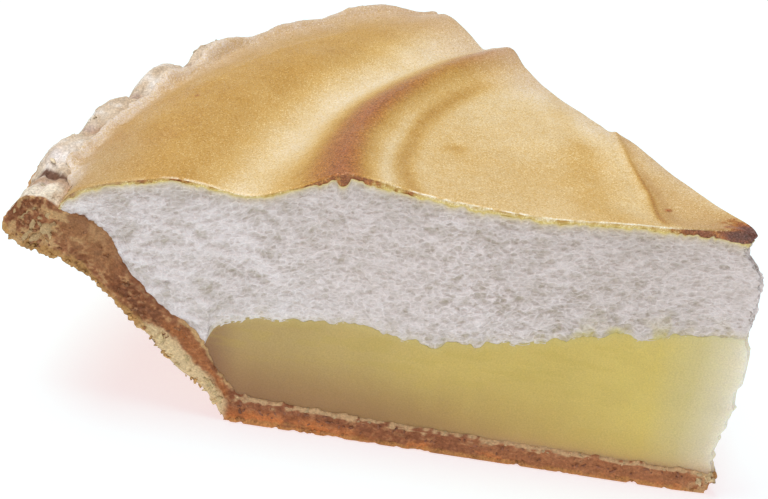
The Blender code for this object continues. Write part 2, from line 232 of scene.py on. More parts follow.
# The camera: its turn, rise and roll in degrees, what it looks at and how far it is from that, in mm
CAMERA_TURN, CAMERA_RISE, CAMERA_ROLL = 3.8, 30.97, 6.46
CAMERA_AIM, CAMERA_AWAY = (-58.63, 20.0, 25.52), 338.9
CAMERA_LENS = 93.75

# ---- numbers


def rise(low, high, value):
    """A smooth step, from 0 at low to 1 at high."""
    share = np.clip((value - low) / (high - low), 0.0, 1.0)
    return share * share * (3.0 - 2.0 * share)


def fall(low, high, value):
    return 1.0 - rise(low, high, value)


def mix(first, second, share):
    return first + (second - first) * share


def hump(value, centre, width):
    return np.exp(-(((value - centre) / width) ** 2))


def fading(distance, length):
    """1 up to a distance of 0, and then less and less over that length."""
    return np.exp(-np.maximum(distance, 0.0) / length)


def xyz(x, y, z):
    """Points or directions from their coordinates. One number stands for all the points."""
    return np.stack(np.broadcast_arrays(x, y, z), -1)


def curve(knots):
    """A smooth curve through (x, y) knots that rises and falls only where the knots do."""
    xs, ys = np.array(knots, float).T
    steps = np.diff(xs)
    slopes = np.diff(ys) / steps
    tangents = np.zeros(len(xs))
    tangents[0], tangents[-1] = slopes[0], slopes[-1]
    for k in range(1, len(xs) - 1):
        before, after = slopes[k - 1], slopes[k]
        if before * after > 0.0:
            heavy = 2.0 * steps[k] + steps[k - 1]
            light = steps[k] + 2.0 * steps[k - 1]
            tangents[k] = (heavy + light) / (heavy / before + light / after)

    def value_at(x):
        x = np.clip(x, xs[0], xs[-1])
        k = np.clip(np.searchsorted(xs, x) - 1, 0, len(steps) - 1)
        t = (x - xs[k]) / steps[k]
        bent = tangents[k] * t * (1 - t) ** 2 - tangents[k + 1] * t * t * (1 - t)
        return ys[k] * (1 + 2 * t) * (1 - t) ** 2 + ys[k + 1] * t * t * (3 - 2 * t) + steps[k] * bent

    return value_at


def random_at(cells, salt):
    """Three repeatable numbers from 0 to 1 for each whole-number cell."""
    x, y, z = np.moveaxis(cells.astype(np.int64), -1, 0)
    seed = (x * 374761393 + y * 668265263 + z * 2147483647 + salt * 1274126177) & 0xFFFFFFFF
    found = []
    for step in range(3):
        seed = ((seed ^ (seed >> 13)) * 1274126177 + 7919 * step + 1) & 0xFFFFFFFF
        seed = seed ^ (seed >> 16)
        found.append((seed & 0xFFFF) / 65535.0)
    return np.stack(found, -1)


def noise(points, salt):
    """Smooth noise from -1 to 1."""
    cell = np.floor(points)
    part = points - cell
    fade = part**3 * (part * (part * 6 - 15) + 10)
    total = np.zeros(points.shape[:-1])
    for corner in itertools.product((0, 1), repeat=3):
        weight = np.prod(np.where(corner, fade, 1.0 - fade), axis=-1)
        total += weight * (2.0 * random_at(cell + corner, salt)[..., 0] - 1.0)
    return total


def noises(points, *layers):
    """The sum of layers of noise: (amount, size or sizes of the lumps, salt)."""
    return sum(amount * noise(points / np.array(size), salt) for amount, size, salt in layers)


def rough_noise(points, salt):
    """Noise with two finer layers, from -1 to 1."""
    total, share, reach = 0.0, 1.0, 0.0
    for octave in range(3):
        total = total + share * noise(points * 2.03**octave + 17.7 * octave, salt + octave)
        reach += share
        share *= 0.5
    return total / reach


def cells_round(points, salt):
    """For each cell round each point: the distance to the spot in it, and a number for the cell."""
    cell = np.floor(points)
    for offset in itertools.product((-1, 0, 1), repeat=3):
        at = cell + offset
        away = ((at + random_at(at, salt) - points) ** 2).sum(-1)
        yield away, random_at(at, salt + 31)[..., 0]


def hollows(points, smallest, largest, salt):
    """Depth of round hollows, one to a cell, in cells: 0 between them."""
    deepest = np.zeros(points.shape[:-1])
    for away, own in cells_round(points, salt):
        size = mix(smallest, largest, own)
        deepest = np.maximum(deepest, np.sqrt(np.maximum(0.0, size**2 - away)))
    return deepest


def cell_walls(points, salt):
    """The distance of each point from the walls between uneven cells, and a number for each cell."""
    nearest, second = np.full(points.shape[:-1], 9.0), np.full(points.shape[:-1], 9.0)
    mine = np.zeros(points.shape[:-1])
    for away, own in cells_round(points, salt):
        away = np.sqrt(away)
        closer = away < nearest
        second = np.where(closer, nearest, np.minimum(second, away))
        mine = np.where(closer, own, mine)
        nearest = np.where(closer, away, nearest)
    return second - nearest, mine


# ---- the pie's shape


def section(knots):
    radius = curve([(s, r) for s, r, _ in knots])
    height = curve([(s, z) for s, _, z in knots])
    return lambda station: (radius(station), height(station))


overhang_at = curve(TIP_OVERHANG)
filling_top_at = curve(FILLING_TOP)
crust_under_at = section(CRUST_UNDER)
crust_inner_at = section(CRUST_INNER)
skin_thickness_at = curve(SKIN_THICKNESS)


def flute(angle):
    """The wave of the rim's flutes: 0 in a notch and about 1 on a crest."""
    wave = np.zeros_like(angle)
    for (low, crest, tall), (high, _, _) in zip(FLUTES, FLUTES[1:]):
        share = (angle - low) / (high - low)
        rising = rise(0.0, crest, share)
        falling = 1.0 - np.clip((share - crest) / (1.0 - crest), 0.0, 1.0) ** FLUTE_FALL_BEND
        inside = (share >= 0.0) & (share <= 1.0)
        wave = np.where(inside, tall * np.where(share < crest, rising, falling), wave)
    return wave


def crust_path(station, angle, under):
    """(radius, height) of the crust's underside or of its inner side."""
    radius, height = (crust_under_at if under else crust_inner_at)(station)
    far = rise(RIM_FAR_FROM, RIM_FAR_TO, angle)
    end = rise(RIM_END_FROM, SLICE_ANGLE, angle)
    near_rim = rise(ST_LEDGE - 5, ST_LEDGE, station)
    past_ledge = rise(ST_LEDGE, ST_LEDGE + 3, station)
    radius = radius + near_rim * (RIM_FAR_OUT * far - RIM_END_IN * end)
    height = height + near_rim * (RIM_FAR_UP * far - RIM_END_DOWN * end)
    wave = past_ledge * flute(angle)
    if under:
        return (
            radius + FLUTE_UNDER_SHARE * FLUTE_OUT * wave,
            height + FLUTE_UNDER_SHARE * FLUTE_UP * wave,
        )
    behind_lip = past_ledge * fall(ST_LEDGE + 3, ST_LIP, station)
    radius = radius + RIM_FAR_LEDGE_OUT * far * near_rim * fall(ST_LEDGE, ST_LIP, station)
    hollow = FLUTE_HOLLOW * behind_lip * np.maximum(0.0, 1.0 - flute(angle))
    return radius + FLUTE_OUT * wave, height + FLUTE_UP * wave - hollow


def ledge_at(angle):
    """(radius, height) at which the meringue's edge meets the crust."""
    radius, height = crust_path(np.full_like(angle, ST_LEDGE), angle, False)
    return radius - 0.2, height + 0.25


def meringue_top(angle):
    """The meringue's top at one angle, as a curve of height over radius."""
    share = angle / SLICE_ANGLE
    edge_radius, edge_height = (float(value) for value in ledge_at(np.array(float(angle))))
    knots = [(edge_radius, edge_height + MERINGUE_EDGE_THICKNESS)]
    for name, (near_r, near_z, far_r, far_z, bend) in MERINGUE_TOP.items():
        height = mix(near_z, far_z, share)
        if name in ("outer_swell", "dome"):
            height += DOME_SWELL_UP * math.sin(math.pi * share)
        knots.append((mix(near_r, far_r, share**bend), height))
    return curve(knots[::-1])


def filling_height(radius, angle):
    """Height of the filling's top. It rises and falls a little inside the slice."""
    inside = rise(20.0, 50.0, radius) * fall(70.0, 80.0, radius)
    return filling_top_at(radius) + FILLING_SWAY * inside * np.sin(np.radians(angle) * FILLING_WAVES)


def meringue_under(angle):
    """The height of what the meringue lies on at one angle, over the radius."""
    stations = np.linspace(ST_FILL, ST_LIP - 0.5, 90)
    radii, heights = crust_path(stations, np.full_like(stations, angle), False)
    edge = filling_top_at(FILLING_EDGE_RADIUS)

    def height_at(radius):
        wall = np.interp(radius, radii, heights)
        inner = filling_height(np.minimum(radius, FILLING_EDGE_RADIUS), angle)
        return np.where(radius < FILLING_EDGE_RADIUS, inner, np.maximum(wall, edge - 2.4))

    return height_at


def place(radius, angle, height):
    """Points of the pie in space, with the lean of the tip."""
    turn = np.radians(angle)
    lean = (TIP_RADIUS + overhang_at(height)) * np.exp(-(((radius - TIP_RADIUS) / TIP_REACH) ** 2))
    return xyz(lean - radius * np.cos(turn), radius * np.sin(turn), height)


def flat_spots(radius, angle):
    """Points of the pie in plan, for noise that doesn't change with the height."""
    turn = np.radians(angle)
    return xyz(radius * np.cos(turn), radius * np.sin(turn), 0.0)


def round_the_slice(angle):
    """The direction round the slice at each angle, towards the far cut."""
    turn = np.radians(angle)
    return xyz(np.sin(turn), np.cos(turn), 0.0)


def which_cut(w):
    """-1 on the near cut, 1 on the far one and 0 between them."""
    return (w == 1.0) * 1.0 - (w == 0.0)


# ---- meshes


def block(cells, us=None, ws=None, open_at=None):
    """The surface of a block of cells: u, v and w of its points, from 0 to 1, and its quads.

    The face at w = open_at is left out, where the block meets its neighbour.
    """
    lines = [np.linspace(0.0, 1.0, count + 1) for count in cells]
    lines[0] = lines[0] if us is None else us
    lines[2] = lines[2] if ws is None else ws
    shape = tuple(len(line) for line in lines)
    shell = np.zeros(shape, bool)
    for axis, end in itertools.product(range(3), (0, -1)):
        shell[(slice(None),) * axis + (end,)] = True
    number = np.full(shape, -1)
    number[shell] = np.arange(shell.sum())
    quads = []
    for axis, end in itertools.product(range(3), (0, -1)):
        side = number[(slice(None),) * axis + (end,)]
        quad = np.stack([side[:-1, :-1], side[1:, :-1], side[1:, 1:], side[:-1, 1:]], -1).reshape(-1, 4)
        quads.append(quad if (axis == 1) == (end == 0) else quad[:, ::-1])
    i, j, k = np.nonzero(shell)
    faces = np.concatenate(quads)
    if open_at is not None:
        faces = faces[(lines[2][k][faces] != open_at).any(1)]
    used, faces = np.unique(faces, return_inverse=True)
    return lines[0][i[used]], lines[1][j[used]], lines[2][k[used]], faces.reshape(-1, 4)


def normals_of(points, faces):
    corners = points[faces]
    across = np.cross(corners[:, 2] - corners[:, 0], corners[:, 3] - corners[:, 1])
    total = np.zeros_like(points)
    for corner, axis in itertools.product(range(4), range(3)):
        total[:, axis] += np.bincount(faces[:, corner], across[:, axis], len(points))
    return total / np.maximum(np.linalg.norm(total, axis=1, keepdims=True), 1e-9)


def outward(points, faces):
    """The faces, turned round if they face into the body."""
    corners = points[faces] - points.mean(0)
    volume = 0.0
    for a, b in ((1, 2), (2, 3)):
        volume += np.einsum("ij,ij->i", corners[:, 0], np.cross(corners[:, a], corners[:, b])).sum()
    return faces if volume > 0.0 else faces[:, ::-1]


def sharpen(mesh, grid):
    """Marks the twelve edges of a block, given as the u, v and w of its points, as sharp."""
    ends = np.empty(len(mesh.edges) * 2, np.int32)
    mesh.edges.foreach_get("vertices", ends)
    first, second = ends.reshape(-1, 2).T
    shared = np.zeros(len(first), int)
    for line in grid:
        at_end = (line[first] == line.min()) | (line[first] == line.max())
        shared += at_end & (line[first] == line[second])
    mesh.attributes.new("sharp_edge", "BOOLEAN", "EDGE").data.foreach_set("value", shared >= 2)


def piece(name, node, points, faces, look, colours, grid=None):
    """A mesh object from pie coordinates, with a linear colour at each point."""
    mesh = bpy.data.meshes.new(name)
    spots = np.clip(points * MM + PIE_AXIS, CAD_LOW, CAD_HIGH)
    mesh.vertices.add(len(spots))
    mesh.vertices.foreach_set("co", spots.astype(np.float32).ravel())
    mesh.loops.add(faces.size)
    mesh.loops.foreach_set("vertex_index", faces.astype(np.int32).ravel())
    mesh.polygons.add(len(faces))
    mesh.polygons.foreach_set("loop_start", np.arange(0, faces.size, faces.shape[1], dtype=np.int32))
    mesh.update(calc_edges=True)
    mesh.shade_smooth()
    if grid is not None:
        sharpen(mesh, grid)
    tint = mesh.attributes.new("tint", "FLOAT_COLOR", "POINT")
    colours = np.concatenate([colours, np.ones((len(colours), 1))], 1)
    tint.data.foreach_set("color", colours.astype(np.float32).ravel())
    mesh.materials.append(look)
    thing = bpy.data.objects.new(name, mesh)
    bpy.context.scene.collection.objects.link(thing)
    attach(thing, "root")
    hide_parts(node)


# ---- colours


def linear(colour):
    """An sRGB colour, 0 to 255, as linear red, green and blue."""
    share = np.array(colour, float) / 255.0
    return np.where(share <= 0.04045, share / 12.92, ((share + 0.055) / 1.055) ** 2.4)


def ramp(value, stops):
    """Linear colours for values between (value, sRGB colour) stops."""
    values, tones = zip(*stops)
    channels = np.array([linear(tone) for tone in tones]).T
    return np.stack([np.interp(value, values, channel) for channel in channels], -1)


def tinted(colours, *tints):
    """Colours moved towards one sRGB colour after another, each by a share at each point."""
    for colour, share in tints:
        colours = mix(colours, linear(colour), np.clip(share, 0.0, 1.0)[:, None])
    return colours


# ---- materials


class Nodes:
    """A material's nodes, made and linked in one call each. Sizes and depths are in millimetres."""

    def __init__(self, name, **inputs):
        self.material = bpy.data.materials.new(name)
        self.material.use_nodes = True
        self.tree = self.material.node_tree
        self.shader = self.tree.nodes["Principled BSDF"]
        self.place = self.make("ShaderNodeTexCoord").outputs["Object"]
        self.look(**inputs)

    def look(self, **inputs):
        """Sets or links inputs of the shader, and gives the material."""
        for socket, value in inputs.items():
            self.put(self.shader.inputs[socket.replace("_", " ")], value)
        return self.material

    def put(self, socket, value):
        if isinstance(value, bpy.types.NodeSocket):
            self.tree.links.new(value, socket)
        else:
            socket.default_value = value

    def make(self, kind, inputs=(), **settings):
        node = self.tree.nodes.new(kind)
        for setting, value in settings.items():
            setattr(node, setting, value)
        for socket, value in dict(inputs).items():
            self.put(node.inputs[socket], value)
        return node

    def tint(self):
        return self.make("ShaderNodeAttribute", attribute_name="tint").outputs["Color"]

    def noise(self, size, detail=3.0, roughness=0.5, output="Fac"):
        """Noise from 0 to 1 with lumps of that size."""
        inputs = {"Vector": self.place, "Scale": 1.0 / (size * MM), "Detail": detail, "Roughness": roughness}
        return self.make("ShaderNodeTexNoise", inputs).outputs[output]

    def uneven(self, size, low, high, detail=3.0, roughness=0.5):
        """Noise that runs from low to high."""
        return self.span(self.noise(size, detail, roughness), 0.3, 0.7, low, high)

    def cells(self, size, feature="F1", at=None):
        inputs = {"Vector": at or self.place, "Scale": 1.0 / (size * MM)}
        return self.make("ShaderNodeTexVoronoi", inputs, feature=feature).outputs

    def span(self, value, low, high, to_low, to_high):
        inputs = {"Value": value, "From Min": low, "From Max": high, "To Min": to_low, "To Max": to_high}
        return self.make("ShaderNodeMapRange", inputs).outputs["Result"]

    def math(self, operation, first, second):
        return self.make("ShaderNodeMath", {0: first, 1: second}, operation=operation).outputs[0]

    def vector(self, operation, first, second):
        """Sums on colours or places. SCALE takes a number as its second value."""
        inputs = {0: first, "Scale" if operation == "SCALE" else 1: second}
        return self.make("ShaderNodeVectorMath", inputs, operation=operation).outputs["Vector"]

    def joined(self, *channels):
        return self.make("ShaderNodeCombineColor", dict(enumerate(channels))).outputs[0]

    def green(self, colour):
        return self.make("ShaderNodeSeparateColor", {0: colour}).outputs["Green"]

    def warped(self, size, by, stretch):
        """Places shifted by noise and then stretched, so that cells lose their even shape."""
        shift = self.vector("SCALE", self.noise(size, 2.0, output="Color"), by * MM)
        return self.vector("MULTIPLY", self.vector("ADD", self.place, shift), stretch)

    def glints(self, size):
        """1 on scattered specks, one in some of the cells, and 0 between them."""
        cell = self.cells(size)
        near = self.span(cell["Distance"], 0.18, 0.42, 1.0, 0.0)
        return self.math("MULTIPLY", near, self.span(cell["Color"], 0.495, 0.535, 0.0, 1.0))

    def bump(self, height, depth, **normal):
        inputs = {"Height": height, "Distance": depth * MM, "Strength": 1.0, **normal}
        return self.make("ShaderNodeBump", inputs).outputs["Normal"]


def skin_material():
    nodes = Nodes("toasted_meringue_skin", Specular_IOR_Level=0.4)
    tint = nodes.tint()
    spread = nodes.math("ADD", nodes.cells(0.22)["Color"], nodes.noise(0.36, 2.0, 0.8))
    ends = ((0.90, 1.08), (0.83, 1.16), (0.62, 1.40))
    specks = nodes.joined(*(nodes.span(spread, 0.6, 1.4, low, high) for low, high in ends))
    dark = nodes.span(nodes.green(tint), 0.12, 0.34, 0.9, 0.0)
    grit = nodes.math("MULTIPLY", nodes.math("SUBTRACT", spread, 1.0), dark)
    shade = nodes.math("MULTIPLY", nodes.uneven(5.0, 0.98, 1.02, 4.0), nodes.math("ADD", grit, 1.0))
    colour = nodes.vector("SCALE", nodes.vector("MULTIPLY", tint, specks), shade)
    green = nodes.green(colour)
    golden = nodes.math("MULTIPLY", green, nodes.span(green, 0.5, 0.68, 1.0, 0.25))
    # Painted glints: pale specks added to the colour, strongest on golden skin
    painted_glints = nodes.vector("SCALE", (0.60, 0.66, 0.50), nodes.math("MULTIPLY", nodes.glints(0.30), golden))
    gloss = nodes.span(nodes.noise(0.4, 1.0), 0.35, 0.65, 0.26, 0.48)
    fine = nodes.bump(nodes.noise(0.24, 2.0, 0.8), 0.08)
    normal = nodes.bump(nodes.cells(0.4)["Distance"], 0.05, Normal=fine)
    return nodes.look(Base_Color=nodes.vector("ADD", colour, painted_glints), Roughness=gloss, Normal=normal)


def foam_material():
    nodes = Nodes(
        "meringue_foam", Roughness=0.75, Specular_IOR_Level=0.2,
        Subsurface_Weight=0.35, Subsurface_Radius=(1.0, 0.92, 0.85), Subsurface_Scale=0.4 * MM,
    )
    at = nodes.warped(1.2, 0.9, (0.58, 0.8, 1.0))
    walls = nodes.cells(0.62, "DISTANCE_TO_EDGE", at)["Distance"]
    # Painted highlight: the thin walls between cells are lighter, as ridges catching the light
    ridge_highlight = nodes.span(walls, 0.0, 0.15, 1.11, 0.98)
    shade = nodes.math("MULTIPLY", nodes.uneven(0.3, 0.97, 1.03, 3.0, 0.7), ridge_highlight)
    fine = nodes.bump(nodes.noise(0.3, 3.0, 0.7), 0.06)
    normal = nodes.bump(nodes.span(walls, 0.0, 0.18, 1.0, 0.0), 0.05, Normal=fine)
    return nodes.look(Base_Color=nodes.vector("SCALE", nodes.tint(), shade), Normal=normal)


def filling_material():
    nodes = Nodes(
        "lemon_filling", Roughness=0.4, Specular_IOR_Level=0.3,
        Subsurface_Weight=0.6, Subsurface_Radius=(1.0, 0.8, 0.35), Subsurface_Scale=1.6 * MM,
    )
    shade = nodes.math("MULTIPLY", nodes.uneven(7.0, 0.97, 1.03), nodes.uneven(0.28, 0.90, 1.10, 2.0, 0.8))
    normal = nodes.bump(nodes.noise(0.5, 3.0, 0.7), 0.07)
    return nodes.look(Base_Color=nodes.vector("SCALE", nodes.tint(), shade), Normal=normal)


def crust_material():
    nodes = Nodes("baked_crust", Specular_IOR_Level=0.25)
    crumbs = nodes.math("MULTIPLY", nodes.uneven(0.5, 0.86, 1.14, 4.0, 0.75), nodes.uneven(3.5, 0.95, 1.05))
    grains = nodes.span(nodes.cells(0.3)["Color"], 0.2, 0.8, 0.86, 1.14)
    colour = nodes.vector("SCALE", nodes.tint(), nodes.math("MULTIPLY", crumbs, grains))
    gloss = nodes.span(nodes.noise(1.6, 2.0), 0.4, 0.7, 0.8, 0.5)
    fine = nodes.bump(nodes.noise(0.35, 3.0, 0.75), 0.20)
    normal = nodes.bump(nodes.cells(0.5)["Distance"], 0.14, Normal=fine)
    return nodes.look(Base_Color=colour, Roughness=gloss, Normal=normal)


def floor_material():
    """A pale floor that gives off some light, so that the ground comes out near white."""
    nodes = Nodes(
        "pale_floor", Roughness=0.9, Specular_IOR_Level=0.1,
        Emission_Color=(1.0, 0.70, 0.73, 1.0), Emission_Strength=0.815,
    )
    shade = nodes.uneven(60.0, 0.985, 1.0, 2.0)
    return nodes.look(Base_Color=nodes.vector("SCALE", (0.20, 0.55, 0.56), shade))


# ---- meringue


def edge_spread(angle):
    """How far the meringue's edge lies over the rim, in mm: most along the far half."""
    wave = noises(xyz(angle / 3.1, 0.0, 0.0), (0.5, 1.0, 5), (0.5, 1.0 / 3.4, 6), (0.3, 1.0 / 8.0, 7))
    return wave + 2.9 * rise(2.5, 8.0, angle) + 1.5 * rise(20.0, 36.0, angle)


def skin_bottom(radius, angle, top, under):
    """Height of the skin's underside: a ragged line below the top."""
    ragged = noises(xyz(radius, angle, 0.0), (0.22, (1.7, 3.0, 1.0), 8))
    ragged += noises(xyz(radius, angle, 1.0), (0.16, (0.6, 3.0, 1.0), 9))
    drop = np.sqrt(np.maximum(0.0, 1.0 - ((radius - DROP_RADIUS) / DROP_WIDTH) ** 2))
    thick = skin_thickness_at(radius) * (1.0 + ragged) + DROP_DEPTH * drop * fall(0.0, 0.9, angle)
    return np.maximum(top - thick, under + 0.05)


def top_relief(radius, angle):
    """Small shapes of the skin on top of the folds."""
    crease = curve(CREASE)(angle)
    ridge = 0.25 * hump(radius, crease, 1.0) - 0.25 * hump(radius, crease + 2.4, 1.8)
    waves = noises(flat_spots(radius, angle), (0.22, 11.0, 2), (0.06, 3.6, 3))
    near_tip = TIP_NEAR_UP * hump(radius, 5.5, 6.5) * fall(0.0, 45.0, angle) * rise(0.0, 4.0, radius)
    return rise(TIP_RADIUS, 8.0, radius) * (waves + rise(4.0, 20.0, angle) * ridge) + near_tip


def toast(radius, angle):
    """How brown the skin is: 0 pale, 0.4 golden, 0.9 dark and 1.6 burnt. Its paler bands include painted
    highlights.
    """
    spot = flat_spots(radius, angle)
    inner, outer, crest = (curve(knots)(angle) for knots in (FOLD_INNER, FOLD_OUTER, FOLD))
    valley, second, crease = (curve(knots)(angle) for knots in (VALLEY, SECOND_FOLD, CREASE))
    up, down = (radius - inner) / (crest - inner), (outer - radius) / (outer - crest)
    level = 0.26 + noises(spot, (0.04, 9.0, 21), (0.03, 2.2, 22))
    level += 0.29 * rise(valley + 3.0, valley + 13.0, radius)
    level += rise(0.0, 1.0, np.where(radius < crest, up, down)) * mix(0.52, 0.24, rise(22.0, 48.0, angle))
    level += 0.18 * fall(crease - 4.0, crease, radius) + 0.22 * fall(4.0, 14.0, radius)
    level += 0.06 * rise(30.0, 37.0, radius) * fall(second - 6.0, second - 2.0, radius)
    past_plain = rise(40.0, 48.0, radius) * fall(second - 5.0, second - 1.5, radius)
    level -= 0.10 * past_plain * rise(24.0, 50.0, angle)
    level -= 0.16 * fall(crest - 8.0, crest - 4.0, radius) * rise(46.0, 57.0, angle)
    level += 0.06 * rise(88.0, 98.0, radius) * fall(8.0, 24.0, angle)
    for knots, past, width, brown, start, full in TOAST_BANDS:
        level += brown * hump(radius, curve(knots)(angle) + past, width) * rise(start, full, angle)
    for spot_radius, spot_angle, size, brown in TOAST_SPOTS:
        away = np.hypot(radius - spot_radius, np.radians(angle - spot_angle) * radius)
        level += brown * hump(away, 0.0, size)
    level += 1.2 * fall(1.2, 7.5, radius + noises(spot, (1.4, 0.8, 23), (0.8, 2.0, 24)))
    return np.clip(level, 0.0, TOAST_MOST)


def skin_lines():
    """Places round the slice, closer together at the cuts, where the skin's edge is rounded."""
    ends = np.array([0.0, 0.0016, 0.004])
    return np.concatenate([ends, np.linspace(0.0085, 1.0 - 0.0085, SKIN_CELLS[2]), 1.0 - ends[::-1]])


def meringue_heights(radius, w):
    """The heights of the meringue's top and of what it lies on, at each point."""
    top, under = np.zeros_like(radius), np.zeros_like(radius)
    for one in np.unique(w):
        here = w == one
        top[here] = meringue_top(SLICE_ANGLE * one)(radius[here])
        under[here] = meringue_under(SLICE_ANGLE * one)(radius[here])
    return np.maximum(top + top_relief(radius, SLICE_ANGLE * w), under + 0.8), under


def skin_colours(points, radius, angle, v, level, from_cut, from_edge):
    """Colours of the skin: its brown, a painted highlight along the top of its cut edge, the paler lip over
    the rim, and a painted sheen near the far cut.
    """
    far = rise(20.0, 36.0, angle)
    off_cut = rise(0.5, 5.0, angle)
    yellow = (from_cut == 0.0) * fall(0.55, 0.95, level) * fall(0.1, 0.75, v)
    lit = rise(8.0, 14.0, radius) * fall(52.0, 59.0, radius) + 0.6 * hump(radius, 88.0, 7.0)
    # Painted highlight: a broken pale line along the top of the cut edge, where its rounded corner catches
    # the light
    painted_shine = (from_cut < 0.12) * (v == 1.0) * rise(-0.5, 0.2, noise(points / 1.1, 15)) * lit
    inside = np.maximum(fall(10.0, 16.0, radius), fall(-3.0, 0.0, radius - curve(CREASE)(angle)))
    from_edge = from_edge + 0.8 * noise(points / 3.0, 14)
    return tinted(
        ramp(level, SKIN_COLOURS),
        ((226, 200, 118), 0.85 * yellow),
        ((255, 244, 214), 0.85 * painted_shine),
        ((204, 176, 144), 0.3 * inside * fall(0.6, 0.9, level)),
        ((190, 168, 130), 0.35 * rise(94.0, 104.0, radius) * fall(4.0, 14.0, angle)),
        ((208, 182, 152), mix(0.65, 0.9, far) * fall(0.5, mix(6.0, 12.0, far), from_edge) * off_cut),
        ((228, 212, 194), 0.8 * fall(0.0, 3.2, from_edge) * off_cut),
        # Painted sheen: paler, pinker tones towards the far cut and the far end of the fold, where light
        # grazes the skin
        ((194, 168, 140), 0.35 * rise(53.0, 59.0, angle) * rise(15.0, 25.0, radius)),
        ((214, 184, 152), 0.45 * rise(46.0, 58.0, angle) * rise(62.0, 72.0, radius)),
    )


def skin():
    """The toasted skin: a thin layer with its cut edge and a round nose at the tip."""
    u, v, w, faces = block(SKIN_CELLS, us=np.linspace(0.0, 1.0, SKIN_CELLS[0] + 1) ** 1.04, ws=skin_lines())
    angle = SLICE_ANGLE * w
    edge_radius = ledge_at(angle)[0] + edge_spread(angle)
    radius = mix(TIP_RADIUS, edge_radius, u)
    top, under = meringue_heights(radius, w)
    near_edge = np.clip((radius - (edge_radius - 2.2)) / 2.2, 0.0, 1.0)
    top = mix(under, top, np.sqrt(np.maximum(0.02, 1.0 - near_edge**2.4)))
    bottom = skin_bottom(radius, angle, top, under)
    nose = np.clip((radius - TIP_RADIUS) / NOSE_LENGTH, 0.0, 1.0)
    round_end = np.sqrt(np.maximum(0.03, 1.0 - (1.0 - nose) ** 2))
    middle = mix(bottom, top, 0.45)
    top, bottom = mix(middle, top, round_end), mix(middle, bottom, round_end)
    from_cut = np.minimum(w, 1.0 - w) * SLICE_ANGLE
    top = top - 0.22 * fall(0.0, 0.24, from_cut) * rise(0.1, 0.6, top - bottom)
    points = place(radius, angle, mix(bottom, top, v))
    faces = outward(points, faces)
    grain = noises(points, (0.6, 0.5, 12), (0.5, 1.7, 13))
    inwards = 0.22 * np.maximum(0.0, 0.3 + grain) * (v < 0.95) * rise(2.0, 8.0, radius)
    points[:, 1] -= which_cut(w) * inwards
    level = toast(radius, angle)
    edge_limit = mix(1.6, 0.98, rise(7.0, 16.0, radius))
    brown_edge = 0.06 + 0.55 * fall(10.0, 20.0, radius) + 0.44 * hump(radius, 61.8, 8.2)
    brown_edge += 0.06 * hump(radius, 95.0, 9.0)
    edge_level = np.minimum(level + brown_edge, edge_limit) + 0.40 * grain
    level = np.where(((from_cut == 0.0) | (u == 0.0)) & (v < 0.9), edge_level, level)
    colours = skin_colours(points, radius, angle, v, level, from_cut, edge_radius - radius)
    piece("meringue_skin", "meringue", points, faces, skin_material(), colours, (u, v, w))


def foam_relief(points, cut):
    """Depth of the torn foam's pits at a cut face, in mm. Thin wavy ridges are left between them."""
    spots = points.copy()
    for by, size, salt in ((0.16, 1.4, 41), (0.6, 7.0, 51)):
        spots += by * np.stack([noise(points / size, salt + axis) for axis in range(3)], -1)
    spots[:, 2] += 0.35 * np.maximum(0.0, -points[:, 0] - 78.0) - 0.12 * points[:, 0]
    spots[:, 1] += 40.0 * cut
    wide = hollows(spots / np.array([1.9, 1.6, 1.1]), 0.05, 0.6, 44)
    from_wall, own = cell_walls(spots / np.array([1.1, 0.95, 0.7]) + 5.1, 56)
    pits = rise(0.0, 0.26, from_wall) * (0.45 + 0.8 * own)
    from_large, deep = cell_walls(spots / np.array([2.1, 1.8, 1.2]) + 2.3, 61)
    pools = rise(0.0, 0.3, from_large) * rise(0.3, 0.9, deep)
    right = mix(0.8, 1.35, rise(-85.0, -25.0, points[:, 0]))
    large = right * (0.20 * wide + 0.12 * pools + noises(spots, (0.07, (3.6, 3.6, 1.6), 46)))
    small = noises(spots, (0.06, (0.7, 0.6, 0.45), 54), (0.06, (1.4, 1.2, 0.7), 55))
    fine = noises(spots, (0.04, 0.4, 49), (0.05, 1.1, 50))
    slope = math.radians(27.0)
    down = spots[:, 0] * math.cos(slope) - spots[:, 2] * math.sin(slope)
    up = spots[:, 0] * math.sin(slope) + spots[:, 2] * math.cos(slope)
    scoops = noises(xyz(down, spots[:, 1], up), (0.21, (3.3, 2.0, 1.15), 62))
    large += fall(-80.0, -60.0, points[:, 0]) * scoops
    calm = 0.9 + 0.3 * noise(points / 14.0, 47)
    return 0.06 + calm * (large + 0.20 * pits + small) + fine


def settled(values, radius, w):
    """The values with their steps along the radius smoothed out, for each place round the slice."""
    smooth = np.zeros_like(values)
    for one in np.unique(w):
        here = w == one
        radii, first = np.unique(radius[here], return_index=True)
        lines = [np.interp(radius[here] + by, radii, values[here][first]) for by in range(-4, 5)]
        smooth[here] = np.mean(lines, 0)
    return smooth


